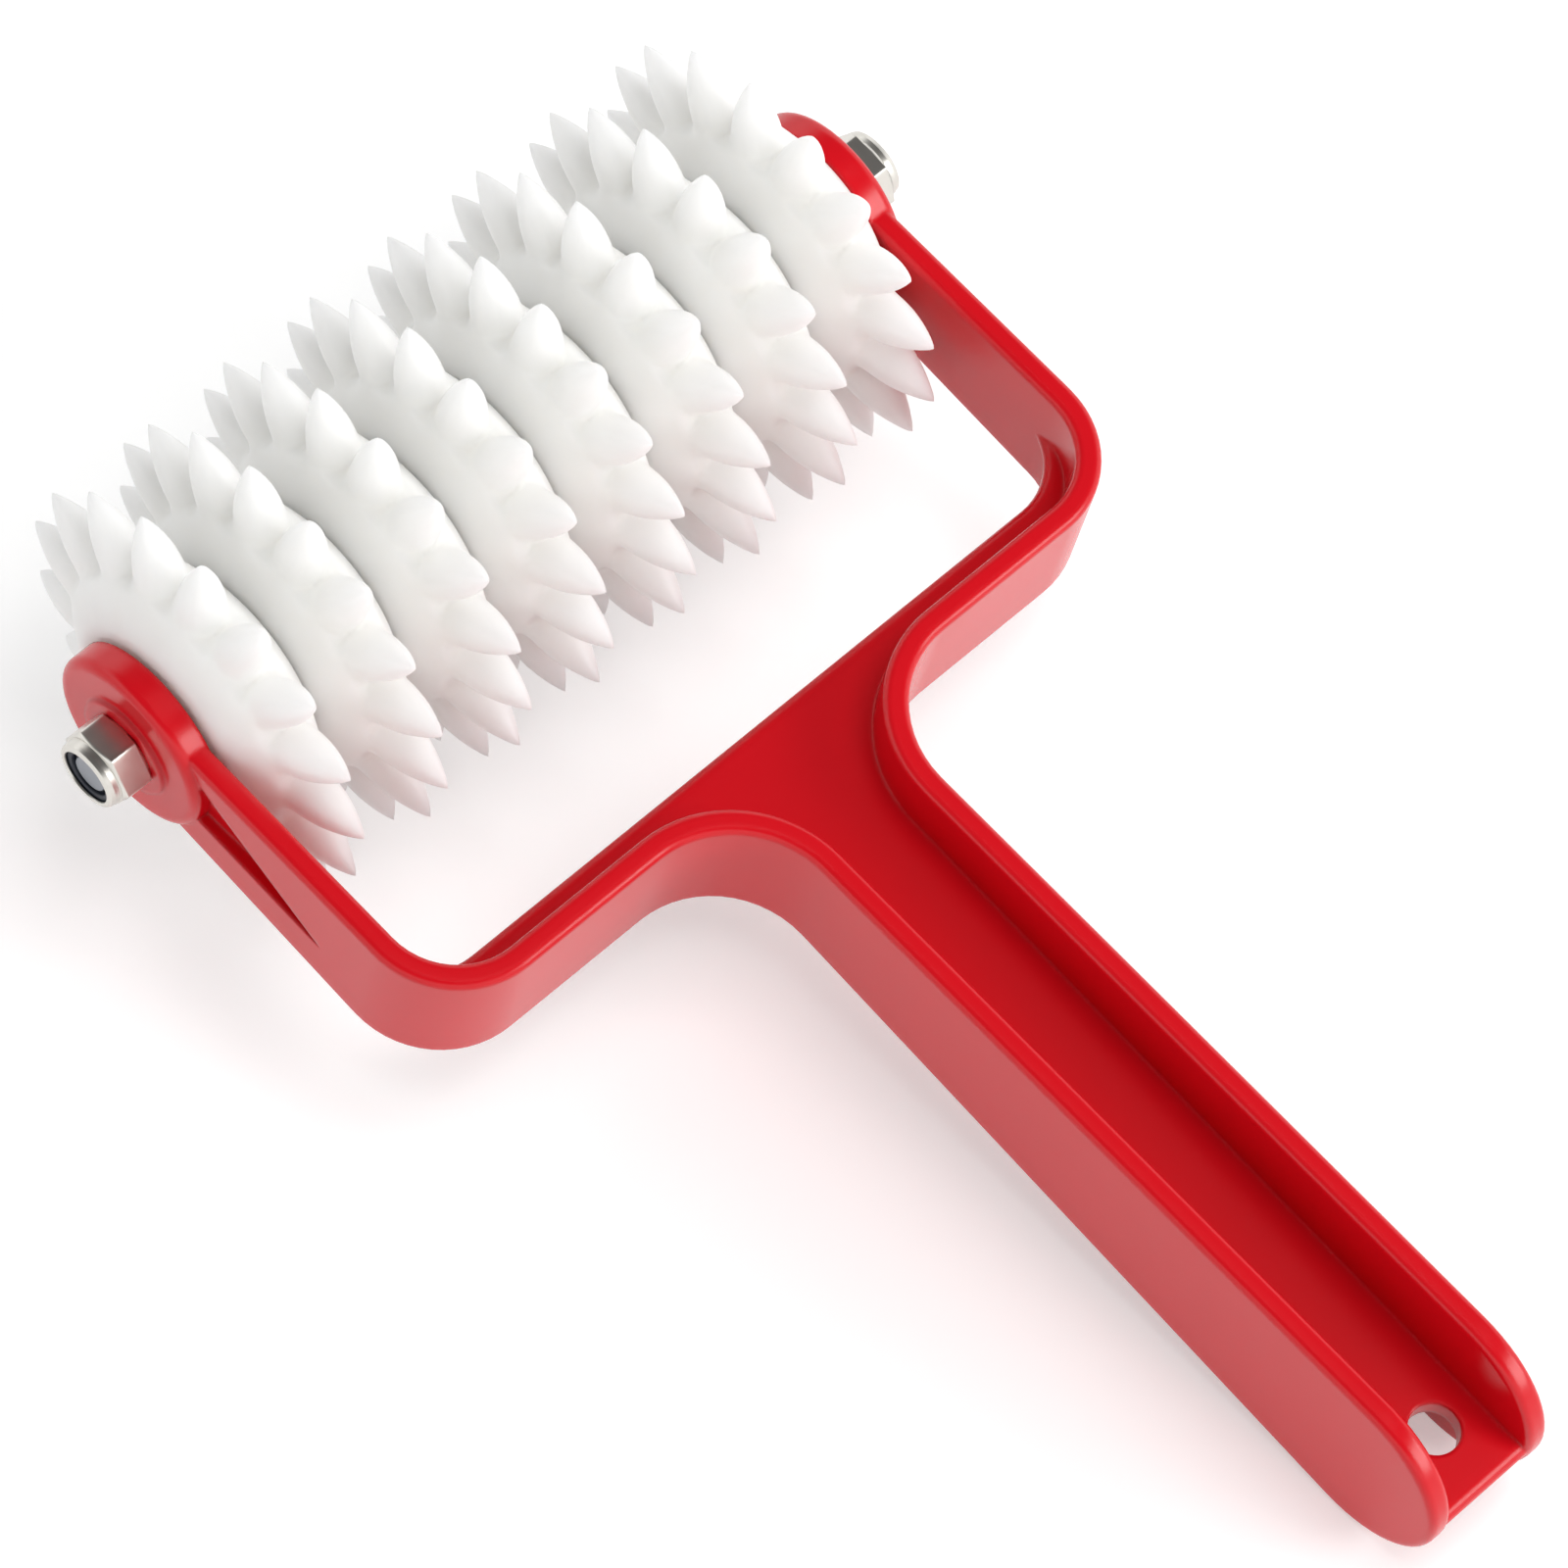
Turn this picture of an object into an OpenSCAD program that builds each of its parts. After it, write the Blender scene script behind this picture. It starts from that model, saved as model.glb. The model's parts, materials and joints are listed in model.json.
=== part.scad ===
// Dough docker: a row of spiked discs that turn on a steel rod, in a one-piece moulded fork
// with a handle of I-shaped section.
//
// The object stands as it is put down: on the spikes in front and on the end of the handle.
// X runs along the rod, +Y from the handle to the roller, and the table is at Z = 0.
// Each piece is drawn level, with the rod's centre at the origin, and then set down on the table.

/* [Roller] */
// Radius of the circle that the spike tips turn on
tip_r = 30; // [28:0.5:32]
// Radius of the crown that the spikes stand on
drum_r = 19; // [18:0.5:20]
// Width of the crown
crown_w = 7.4; // [7.2:0.1:9]
// Radius of a disc's flat sides, where the slopes of two discs meet
hub_r = 13.5; // [12:0.5:16]
// Spikes round one disc
spike_count = 17; // [15:1:18]
// Width of a spike at its foot
spike_w = 6.9; // [6:0.1:7.2]
// Distance from one disc to the next
disc_pitch = 13.8; // [13.6:0.1:13.8]
// Gap between neighbouring discs
disc_gap = 0.2; // [0.2:0.05:0.4]

/* [Frame] */
// Thickness of the arms, the crossbar and the sides of the handle
wall_t = 3.3; // [3:0.1:3.6]
// Thickness of the web at mid height
web_t = 3; // [2.6:0.1:3.4]
// Half the distance between the arms, inside
fork_half_w = 55.7; // [55.7:0.1:56.5]
// Distance from the rod to the back of the crossbar
crossbar_back = 54.9; // [53:0.5:57]
// Distance from the rod to the front edge of the web
web_front = 47.3; // [46.5:0.1:48]
// Half the height of the crossbar
bar_half_h = 10.1; // [9.5:0.1:10.5]
// Inner radius of the two outer corners
corner_r = 10; // [9:0.5:11]
// Outer radius where the crossbar turns into the handle
shoulder_r = 14; // [12:0.5:15]
// Radius of the rounding along every rim
rim_r = 1; // [0.6:0.1:1.2]

/* [Handle] */
// Width of the handle
handle_w = 19.9; // [18:0.1:21]
// Distance from the rod to the centre of the handle's round end
handle_reach = 163; // [155:1:170]
// Radius of the handle's round end, seen from the side
handle_end_r = 13.6; // [13:0.1:14]
// Radius of the hanging hole
hang_r = 3.3; // [2.5:0.1:3.5]
// Distance from the rod to the hanging hole
hang_reach = 167.1; // [164:0.5:168]

/* [Eyes] */
// Radius of the round eye at the end of each arm
eye_r = 12.4; // [12:0.1:13.2]
// Thickness of the eye
eye_t = 4.3; // [4:0.1:4.6]
// Rounding of the eye's outer edge
eye_edge_r = 1.4; // [1:0.1:1.6]
// Radius of the low boss that the nut seats on
boss_r = 7; // [6.2:0.1:7.5]
// Height of the boss
boss_h = 0.6; // [0.4:0.1:0.8]

/* [Rod and nuts] */
// Diameter of the rod
rod_d = 6; // [5.8:0.1:6]
// Gap all round between a disc and the rod
running_gap = 0.08; // [0.05:0.01:0.1]
// Width of the nut across its flats
nut_af = 10; // [10:0.1:10.2]
// Height of the nut, collar included
nut_h = 6.1; // [6:0.1:6.4]

/* [Hidden] */

$fn = 64;
spike_fn = 24;
far = 200;

// Roller
disc_count = 8;
disc_w = disc_pitch - disc_gap;
spike_step = 360 / spike_count;
spike_sink = 1.2;
spike_h = tip_r - drum_r + spike_sink;
spike_rings = 7;
// How far each disc's nearest spike is turned from straight down, left to right
disc_turn = [10.2, -3.2, -9.2, -7.1, 10.4, -6.0, 10.0, -2.4];
nearest_turn = min([for (turn = disc_turn) abs(turn)]);

// Resting pose: the lowest spike and the handle's round end both touch the table
rod_z = tip_r * cos(nearest_turn);
lean = asin((rod_z - handle_end_r) / handle_reach);
front_y = max([
    for (turn = disc_turn, k = [0:spike_count - 1]) tip_r * sin(turn + k * spike_step)
]);
back_y = -handle_reach * cos(lean) - handle_end_r;
rod_y = -(front_y + back_y) / 2;

// Frame
handle_half_w = handle_w / 2;
shoulder_x = handle_half_w + shoulder_r;
shoulder_y = -crossbar_back - shoulder_r;
corner_x = fork_half_w - corner_r;
corner_y = -crossbar_back + wall_t + corner_r;
arm_drop = 1.95;
arm_bend_y = corner_y + 1;
handle_bend_y = shoulder_y - 1;
// The handle's top line touches its round end, so its slope follows from the two ends
bend_run = handle_bend_y + handle_reach;
handle_drop = asin(handle_end_r / norm([bend_run, bar_half_h])) - atan2(bar_half_h, bend_run);
nut_seat_x = fork_half_w + eye_t + boss_h;
rim_arc_step = 15;

// Web
window_r = 9.5;
window_half_w = fork_half_w + 0.5;
// The web stops just short of the walls' round ends
web_end_inset = 0.2;
web_end_y = -handle_reach - handle_end_r + web_end_inset;

// Sink in the outer face of each arm, behind the eye: seen from the side as a wedge
sink_start_y = -eye_r + 1;
sink_tip_y = -34;
sink_low_z = -2.5;
sink_high_z = 5.8;
sink_depth = 1.5;
sink_slope = 2.6;

// Rod, nuts and inserts
thread_gap = 0.05;
rod_recess = 0.7;
rod_chamfer = 0.5;
rod_half_l = nut_seat_x + nut_h - rod_recess;
hex_h = 4.5;
nut_chamfer_slope = 0.55;
collar_r = 4.75;
insert_r = 4.1;
insert_h = 1.3;
insert_floor = 4.3;
lip_r = 3.75;

// Sets a level piece down on the table
module put_down() {
    translate([0, rod_y, rod_z]) rotate([lean, 0, 0]) children();
}

// Turns a profile drawn in X and Y so that it stands round the rod, with its axis along +X
module about_rod() {
    rotate([90, 0, 90]) children();
}

// Both sides of a piece that is the same on the left and on the right
module both_sides() {
    children();
    mirror([1, 0, 0]) children();
}

// Upper and lower halves of a piece that is the same above and below
module both_faces() {
    children();
    mirror([0, 0, 1]) children();
}

// Points of an arc round (x, y), from one angle to another
function arc(x, y, r, from, to) =
    [for (angle = [from:rim_arc_step:to]) [x + r * cos(angle), y + r * sin(angle)]];

// Half section of a wall: it starts at foot and ends in a rounded rim at the height top
module rim_section(top, foot = -1) {
    polygon([
        [0, foot],
        [wall_t, foot],
        each arc(wall_t - rim_r, top - rim_r, rim_r, 0, 90),
        each arc(rim_r, top - rim_r, rim_r, 90, 180)
    ]);
}

// Section of the web's edge: a slab that runs inwards from a fully rounded edge
module edge_section(depth) {
    translate([web_t / 2, -web_t / 2]) square([depth - web_t / 2, web_t]);
    translate([web_t / 2, 0]) circle(web_t / 2);
}

// All that lies on the roller's side of a leaning plane through the point (y, z)
module front_of(y, z, angle) {
    translate([0, y, z]) rotate([-angle, 0, 0]) translate([-far / 2, 0, -far / 2]) cube(far);
}

// The same on the handle's side
module back_of(y, z, angle) {
    translate([0, y, z]) rotate([-angle, 0, 0]) translate([-far / 2, -far, -far / 2]) cube(far);
}

// Wall that runs from the bend towards the eye and grows lower on the way
module arm_wall() {
    intersection() {
        translate([fork_half_w, arm_bend_y, bar_half_h])
            rotate([90 - arm_drop, 0, 0])
                translate([0, -bar_half_h, arm_bend_y])
                    linear_extrude(-arm_bend_y + 1) rim_section(bar_half_h);
        front_of(arm_bend_y, bar_half_h, arm_drop / 2);
    }
    intersection() {
        translate([fork_half_w, corner_y + 2, 0])
            rotate([90, 0, 0]) linear_extrude(2) rim_section(bar_half_h);
        back_of(arm_bend_y, bar_half_h, arm_drop / 2);
    }
}

// Corner between an arm and the crossbar
module corner_wall() {
    translate([corner_x, corner_y, 0])
        rotate(-90) rotate_extrude(angle = 90) translate([corner_r, 0]) rim_section(bar_half_h);
}

// Straight stretch of the crossbar
module crossbar_wall() {
    translate([shoulder_x, -crossbar_back, 0])
        rotate([90, 0, 90]) linear_extrude(corner_x - shoulder_x) rim_section(bar_half_h);
}

// Sweep from the crossbar into the handle
module shoulder_wall() {
    translate([shoulder_x, shoulder_y, 0])
        rotate(90) rotate_extrude(angle = 90) translate([shoulder_r, 0]) rim_section(bar_half_h);
}

// Side of the handle, deeper towards its round end
module handle_wall() {
    inner_x = handle_half_w - wall_t;
    intersection() {
        translate([inner_x, shoulder_y, 0])
            rotate([90, 0, 0]) linear_extrude(2) rim_section(bar_half_h);
        front_of(handle_bend_y, bar_half_h, handle_drop / 2);
    }
    intersection() {
        translate([inner_x, -handle_reach, 0])
            rotate([90 - handle_drop, 0, 0])
                translate([0, 0, -bend_run - 1])
                    linear_extrude(bend_run + 1) rim_section(handle_end_r);
        back_of(handle_bend_y, bar_half_h, handle_drop / 2);
    }
}

// Round end of a handle side: the same section turned about the end's centre
module handle_end() {
    translate([handle_half_w - wall_t, -handle_reach, 0])
        about_rod() rotate(90 - handle_drop)
            rotate_extrude(angle = 90 + handle_drop)
                mirror([1, -1, 0]) rim_section(handle_end_r, 0);
}

// Round eye with its low boss
module eye() {
    translate([fork_half_w, 0, 0]) about_rod() rotate_extrude() {
        square([eye_r - eye_edge_r, eye_t]);
        square([eye_r, eye_t - eye_edge_r]);
        translate([eye_r - eye_edge_r, eye_t - eye_edge_r]) circle(eye_edge_r);
        square([boss_r, eye_t + boss_h]);
    }
}

// Web between the walls, its edges fully rounded where they are free
module web() {
    window_x = window_half_w - window_r;
    window_y = -web_front + window_r;
    ledge = crossbar_back - wall_t / 2 - web_front;
    // Front edge of the ledge, and its two curved ends
    translate([-window_x, -web_front, 0])
        rotate([90, 0, 90]) linear_extrude(2 * window_x) mirror([1, 0]) edge_section(ledge);
    both_sides() intersection() {
        translate([window_x, window_y, 0])
            rotate(-90) rotate_extrude(angle = 90) translate([window_r, 0]) edge_section(far / 20);
        translate([corner_x, corner_y, -far / 2]) cylinder(r = corner_r + wall_t / 2, h = far);
    }
    // Shoulders and handle
    translate([0, 0, -web_t / 2]) linear_extrude(web_t) difference() {
        translate([-shoulder_x, shoulder_y])
            square([2 * shoulder_x, -shoulder_y - crossbar_back + wall_t + 1]);
        for (side = [-1, 1]) translate([side * shoulder_x, shoulder_y]) circle(shoulder_r + wall_t / 2);
    }
    translate([-handle_half_w + wall_t / 2, web_end_y, 0])
        rotate([90, 0, 90]) linear_extrude(handle_w - wall_t) edge_section(shoulder_y - web_end_y + 1);
}

// Wedge-shaped sink, shallower towards its tip
module arm_sink() {
    translate([fork_half_w + wall_t - sink_depth, sink_start_y, 0])
        rotate([0, 0, -sink_slope]) rotate([90, 0, 90]) linear_extrude(wall_t)
            polygon([
                [0, sink_low_z],
                [sink_tip_y - sink_start_y, sink_low_z],
                [0, sink_high_z]
            ]);
}

// One moulding: fork, crossbar and handle
module frame() {
    color("crimson") put_down() difference() {
        union() {
            both_sides() {
                difference() {
                    both_faces() arm_wall();
                    arm_sink();
                }
                both_faces() {
                    corner_wall();
                    crossbar_wall();
                    shoulder_wall();
                    handle_wall();
                    handle_end();
                }
                eye();
            }
            web();
        }
        translate([-far / 2, 0, 0]) about_rod() cylinder(d = rod_d + 2 * thread_gap, h = far);
        translate([0, -hang_reach, -web_t]) cylinder(r = hang_r, h = 2 * web_t);
    }
}

// Rod, plain from end to end but for its chamfers
module axle() {
    color("silver") put_down() about_rod() rotate_extrude() polygon([
        [0, -rod_half_l],
        [rod_d / 2 - rod_chamfer, -rod_half_l],
        [rod_d / 2, -rod_half_l + rod_chamfer],
        [rod_d / 2, rod_half_l - rod_chamfer],
        [rod_d / 2 - rod_chamfer, rod_half_l],
        [0, rod_half_l]
    ]);
}

// Lock nut: a chamfered hexagon, and a round collar rolled in over the insert
module lock_nut() {
    corner = nut_af / sqrt(3);
    chamfer_h = (corner - nut_af / 2) * nut_chamfer_slope;
    difference() {
        union() {
            intersection() {
                cylinder(r = corner, h = hex_h, $fn = 6);
                rotate_extrude() polygon([
                    [0, 0],
                    [nut_af / 2, 0],
                    [corner, chamfer_h],
                    [corner, hex_h - chamfer_h],
                    [nut_af / 2, hex_h],
                    [0, hex_h]
                ]);
            }
            rotate_extrude() polygon([
                [0, hex_h - 1],
                [collar_r, hex_h - 1],
                [collar_r, nut_h - 0.7],
                [collar_r - 0.3, nut_h - 0.2],
                [collar_r - 0.7, nut_h],
                [0, nut_h]
            ]);
        }
        translate([0, 0, -1]) cylinder(d = rod_d + 2 * thread_gap, h = nut_h);
        translate([0, 0, insert_floor]) cylinder(r = insert_r + thread_gap, h = insert_h + thread_gap);
        translate([0, 0, insert_floor]) cylinder(r = lip_r, h = nut_h);
    }
}

module nylon_insert() {
    translate([0, 0, insert_floor]) difference() {
        cylinder(r = insert_r, h = insert_h);
        translate([0, 0, -1]) cylinder(d = rod_d + 2 * thread_gap, h = insert_h + 2);
    }
}

// Puts a fastener on the right end of the rod, or mirrored on the left
module on_rod_end(side) {
    put_down() mirror([side < 0 ? 1 : 0, 0, 0]) translate([nut_seat_x, 0, 0]) about_rod() children();
}

module left_lock_nut() {
    color("gainsboro") on_rod_end(-1) lock_nut();
}

module right_lock_nut() {
    color("gainsboro") on_rod_end(1) lock_nut();
}

module left_nylon_insert() {
    color("midnightblue") on_rod_end(-1) nylon_insert();
}

module right_nylon_insert() {
    color("midnightblue") on_rod_end(1) nylon_insert();
}

// Pointed arch of a spike: upright at its foot and curved in to the tip
function arch_x(z) =
    let (half = spike_w / 2, sweep_r = (half * half + spike_h * spike_h) / spike_w)
    sqrt(sweep_r * sweep_r - z * z) - sweep_r + half;

module spike() {
    rotate_extrude($fn = spike_fn) polygon([
        [0, 0],
        for (ring = [0:spike_rings - 1])
            let (z = spike_h * sin(90 * ring / spike_rings)) [arch_x(z), z],
        [0, spike_h]
    ]);
}

// Body of a disc: a crown between two slopes that fall away to the flat sides
module disc_body() {
    about_rod() rotate_extrude() polygon([
        [0, -disc_w / 2],
        [hub_r, -disc_w / 2],
        [drum_r, -crown_w / 2],
        [drum_r, crown_w / 2],
        [hub_r, disc_w / 2],
        [0, disc_w / 2]
    ]);
}

// Disc number n, counted from the left, turned as it lies at rest
module spiked_disc(n) {
    color("white") translate([(n - (disc_count + 1) / 2) * disc_pitch, rod_y, rod_z])
        rotate([disc_turn[n - 1], 0, 0]) difference() {
            union() {
                disc_body();
                for (k = [0:spike_count - 1])
                    rotate([180 + k * spike_step, 0, 0])
                        translate([0, 0, drum_r - spike_sink]) spike();
            }
            translate([-disc_w, 0, 0]) about_rod()
                cylinder(d = rod_d + 2 * running_gap, h = 2 * disc_w);
        }
}

frame();
axle();
left_lock_nut();
right_lock_nut();
left_nylon_insert();
right_nylon_insert();
for (n = [1:disc_count]) spiked_disc(n);
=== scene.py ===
# %% [markdown]
# # A dough docker
# The real tool is a row of spiked plastic discs that turn on a steel rod. A one-piece red moulding
# holds the rod: a fork, a crossbar and a handle of I-shaped section. Two lock nuts close it.
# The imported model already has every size, place and joint, so nothing is moved here. This lesson
# gives the surfaces what makes them look real: soft edges, moulded blends, threads and finishes.

# %% Load the frame
import json
import math

import bmesh
import bpy
from mathutils import Matrix, Vector


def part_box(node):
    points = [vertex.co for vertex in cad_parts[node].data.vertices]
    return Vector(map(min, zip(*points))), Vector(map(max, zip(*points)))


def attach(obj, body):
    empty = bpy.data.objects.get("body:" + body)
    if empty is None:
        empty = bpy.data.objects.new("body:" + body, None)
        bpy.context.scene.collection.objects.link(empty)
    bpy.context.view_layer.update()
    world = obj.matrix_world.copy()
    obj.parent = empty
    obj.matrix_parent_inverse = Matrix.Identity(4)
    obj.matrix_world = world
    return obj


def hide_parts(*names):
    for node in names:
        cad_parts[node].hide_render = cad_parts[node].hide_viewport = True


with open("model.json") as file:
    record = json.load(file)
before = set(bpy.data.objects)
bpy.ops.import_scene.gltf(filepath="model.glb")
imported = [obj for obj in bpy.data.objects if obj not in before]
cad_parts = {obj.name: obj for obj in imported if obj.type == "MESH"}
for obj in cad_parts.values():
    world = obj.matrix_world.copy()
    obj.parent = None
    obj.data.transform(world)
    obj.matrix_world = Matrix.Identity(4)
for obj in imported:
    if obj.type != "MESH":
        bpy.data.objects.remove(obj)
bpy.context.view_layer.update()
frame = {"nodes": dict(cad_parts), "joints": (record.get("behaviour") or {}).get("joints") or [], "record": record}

# %% [markdown]
# ## Where things are
# All lengths below are written in millimetres, as on a drawing, and MM turns them into Blender's
# metres. The rod's place comes from the first joint, and the lean of the fork from the axis of the
# hanging hole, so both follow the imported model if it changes.

# %% Places read from the frame
MM = 0.001
JOINTS = frame["joints"]
ROD = Vector((0.0, *JOINTS[0]["pos_m"][1:]))
HOLE_AXIS = Vector(frame["record"]["mounts"][0]["axis"])
LEAN = math.atan2(-HOLE_AXIS.y, HOLE_AXIS.z)
TO_FORK = Matrix.Translation(ROD) @ Matrix.Rotation(LEAN, 4, "X")
print(f"rod at {ROD.y / MM:.1f}, {ROD.z / MM:.1f} mm, fork leans {math.degrees(LEAN):.2f} degrees")

# %% [markdown]
# ## Helpers for every step
# Materials and Geometry Nodes are both trees of nodes, so one function adds a node to either: it
# sets the node's options, then fills its inputs with values or links. Colours are written as the hex
# values that a paint program shows, and one function turns them into the linear values Blender wants.

# %% Nodes and colours


def add(tree, kind, inputs=None, **settings):
    """One node, with its settings, its input values and the links into it."""
    node = tree.nodes.new(kind)
    for name, value in settings.items():
        setattr(node, name, value)
    for key, value in (inputs or {}).items():
        if isinstance(value, bpy.types.NodeSocket):
            tree.links.new(value, node.inputs[key])
        else:
            node.inputs[key].default_value = value
    return node


def linear(hex_colour):
    """A colour such as #C8102E as linear red, green, blue and alpha."""
    parts = [int(hex_colour[i : i + 2], 16) / 255 for i in (1, 3, 5)]
    return [p / 12.92 if p <= 0.04045 else ((p + 0.055) / 1.055) ** 2.4 for p in parts] + [1.0]


print("linear mid grey:", [round(v, 3) for v in linear("#808080")])

# %% Objects from meshes


def make_object(name, mesh):
    obj = bpy.data.objects.new(name, mesh)
    bpy.context.scene.collection.objects.link(obj)
    return obj


def frozen(obj, name):
    """The mesh of obj with its modifiers applied, as a new mesh of its own."""
    graph = bpy.context.evaluated_depsgraph_get()
    mesh = bpy.data.meshes.new_from_object(obj.evaluated_get(graph))
    mesh.name = name
    return mesh


def shade_smooth(mesh):
    mesh.polygons.foreach_set("use_smooth", [True] * len(mesh.polygons))
    mesh.update()


def finish_piece(obj, body, slot, *nodes):
    """Puts a piece on the body it rides on and hides the CAD nodes it stands for. The slot argument is not used.
    """
    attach(obj, body)
    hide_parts(*nodes)
    print(f"{obj.name}: {len(obj.data.polygons)} faces, on {body}")


# %% [markdown]
# ## Finish 1: white polyethylene
# The discs are injection moulded from natural polyethylene. Light goes a few millimetres into it and
# comes out again, so the spikes look soft and have almost no dark side: that is subsurface
# scattering. The surface itself is satin, with a faint unevenness from the mould. The bump is drawn
# at 2 mm, coarser than the real one, so that it shows at all.

# %% Material: moulded polyethylene


def moulded_polyethylene():
    material = bpy.data.materials.new("moulded_polyethylene")
    material.use_nodes = True
    tree = material.node_tree
    tree.nodes.clear()
    place = add(tree, "ShaderNodeTexCoord")
    cloud = add(tree, "ShaderNodeTexNoise", {"Vector": place.outputs["Object"], "Scale": 1 / (9 * MM)})
    tint = add(
        tree,
        "ShaderNodeMix",
        {0: cloud.outputs["Fac"], 6: linear("#F6F6F4"), 7: linear("#ECEBE8")},
        data_type="RGBA",
    )
    skin = add(
        tree,
        "ShaderNodeTexNoise",
        {"Vector": place.outputs["Object"], "Scale": 1 / (2 * MM), "Detail": 3.0},
    )
    gloss = add(
        tree,
        "ShaderNodeMapRange",
        {"Value": skin.outputs["Fac"], "To Min": 0.34, "To Max": 0.5},
    )
    bump = add(
        tree,
        "ShaderNodeBump",
        {"Height": skin.outputs["Fac"], "Strength": 0.12, "Distance": 0.1 * MM},
    )
    shader = add(
        tree,
        "ShaderNodeBsdfPrincipled",
        {
            "Base Color": tint.outputs[2],
            "Roughness": gloss.outputs[0],
            "Normal": bump.outputs[0],
            "IOR": 1.51,
            "Subsurface Weight": 1.0,
            "Subsurface Radius": (1.0, 0.98, 0.95),
            "Subsurface Scale": 8 * MM,
        },
    )
    add(tree, "ShaderNodeOutputMaterial", {"Surface": shader.outputs[0]})
    return material


WHITE = moulded_polyethylene()
print("made", WHITE.name)

# %% [markdown]
# ## Finish 2: red ABS
# The fork is injection moulded ABS from a polished tool: deep red, and glossy enough that its sides
# pick up the white of the table. ABS has an IOR near 1.54. The specular level is lowered, because at
# the usual 0.5 the sides mirrored the table more than in the photograph. Two things keep it from
# looking like glass: a very shallow orange peel about 3 mm across, and a roughness that drifts over
# the surface. The drift ends at 0.27, because a wider one, up to 0.32, left faint curved lines in
# the denoised picture. A Bevel node shades each inner corner as the wide blend of a moulding.

# %% Material: glossy ABS
BLEND_R = 0.9 * MM


def glossy_abs():
    material = bpy.data.materials.new("glossy_abs")
    material.use_nodes = True
    tree = material.node_tree
    tree.nodes.clear()
    place = add(tree, "ShaderNodeTexCoord")
    peel = add(
        tree,
        "ShaderNodeTexNoise",
        {"Vector": place.outputs["Object"], "Scale": 1 / (3 * MM), "Detail": 2.0},
    )
    drift = add(
        tree,
        "ShaderNodeTexNoise",
        {"Vector": place.outputs["Object"], "Scale": 1 / (25 * MM), "Detail": 3.0},
    )
    colour = add(
        tree,
        "ShaderNodeMix",
        {0: drift.outputs["Fac"], 6: linear("#D20D1B"), 7: linear("#CA0917")},
        data_type="RGBA",
    )
    gloss = add(
        tree,
        "ShaderNodeMapRange",
        {"Value": drift.outputs["Fac"], "To Min": 0.2, "To Max": 0.27},
    )
    blend = add(tree, "ShaderNodeBevel", {"Radius": BLEND_R}, samples=8)
    bump = add(
        tree,
        "ShaderNodeBump",
        {
            "Height": peel.outputs["Fac"],
            "Strength": 0.15,
            "Distance": 0.05 * MM,
            "Normal": blend.outputs[0],
        },
    )
    shader = add(
        tree,
        "ShaderNodeBsdfPrincipled",
        {
            "Base Color": colour.outputs[2],
            "Roughness": gloss.outputs[0],
            "Normal": bump.outputs[0],
            "IOR": 1.54,
            "Specular IOR Level": 0.34,
        },
    )
    add(tree, "ShaderNodeOutputMaterial", {"Surface": shader.outputs[0]})
    return material


RED = glossy_abs()
print("made", RED.name)

# %% [markdown]
# ## Finish 3: bright nickel plating, plain steel and dark nylon
# The nuts are barrel plated: bright, but a little uneven. The rod is drawn steel, greyer and rougher.
# Both are metals, so they keep Blender's own IOR and take their colour from the reflection. The
# insert is moulded polyamide, nearly black with a blue cast.

# %% Materials: metals and nylon


def metal(name, colour, low_roughness, high_roughness, grain):
    material = bpy.data.materials.new(name)
    material.use_nodes = True
    tree = material.node_tree
    tree.nodes.clear()
    place = add(tree, "ShaderNodeTexCoord")
    marks = add(
        tree,
        "ShaderNodeTexNoise",
        {"Vector": place.outputs["Object"], "Scale": 1 / grain, "Detail": 4.0},
    )
    gloss = add(
        tree,
        "ShaderNodeMapRange",
        {"Value": marks.outputs["Fac"], "To Min": low_roughness, "To Max": high_roughness},
    )
    bump = add(
        tree,
        "ShaderNodeBump",
        {"Height": marks.outputs["Fac"], "Strength": 0.2, "Distance": 0.02 * MM},
    )
    shader = add(
        tree,
        "ShaderNodeBsdfPrincipled",
        {
            "Base Color": linear(colour),
            "Metallic": 1.0,
            "Roughness": gloss.outputs[0],
            "Normal": bump.outputs[0],
        },
    )
    add(tree, "ShaderNodeOutputMaterial", {"Surface": shader.outputs[0]})
    return material


def moulded_polyamide():
    material = bpy.data.materials.new("moulded_polyamide")
    material.use_nodes = True
    tree = material.node_tree
    tree.nodes.clear()
    place = add(tree, "ShaderNodeTexCoord")
    grain = add(
        tree,
        "ShaderNodeTexNoise",
        {"Vector": place.outputs["Object"], "Scale": 1 / (0.6 * MM), "Detail": 3.0},
    )
    gloss = add(
        tree,
        "ShaderNodeMapRange",
        {"Value": grain.outputs["Fac"], "To Min": 0.4, "To Max": 0.6},
    )
    shader = add(
        tree,
        "ShaderNodeBsdfPrincipled",
        {"Base Color": linear("#101726"), "Roughness": gloss.outputs[0], "IOR": 1.53},
    )
    add(tree, "ShaderNodeOutputMaterial", {"Surface": shader.outputs[0]})
    return material


PLATING = metal("nickel_plating", "#D8D5CE", 0.28, 0.38, 1.5 * MM)
STEEL = metal("drawn_steel", "#8E9299", 0.3, 0.45, 0.8 * MM)
NYLON = moulded_polyamide()
print("made", PLATING.name, STEEL.name, NYLON.name)

# %% [markdown]
# ## Step 1: a spiked disc
# One disc has a crown with a ring of pointed spikes, and slopes that fall away to its flat sides. It
# could be cut from a cylinder with a boolean, or modelled spike by spike, but it follows a rule: the
# same pointed arch, turned about its own axis and repeated round the disc. So a Geometry Nodes tree
# makes it. A line gets the arch as its radius and becomes a spike, and the spike is placed once for
# each step round the rod.

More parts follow.
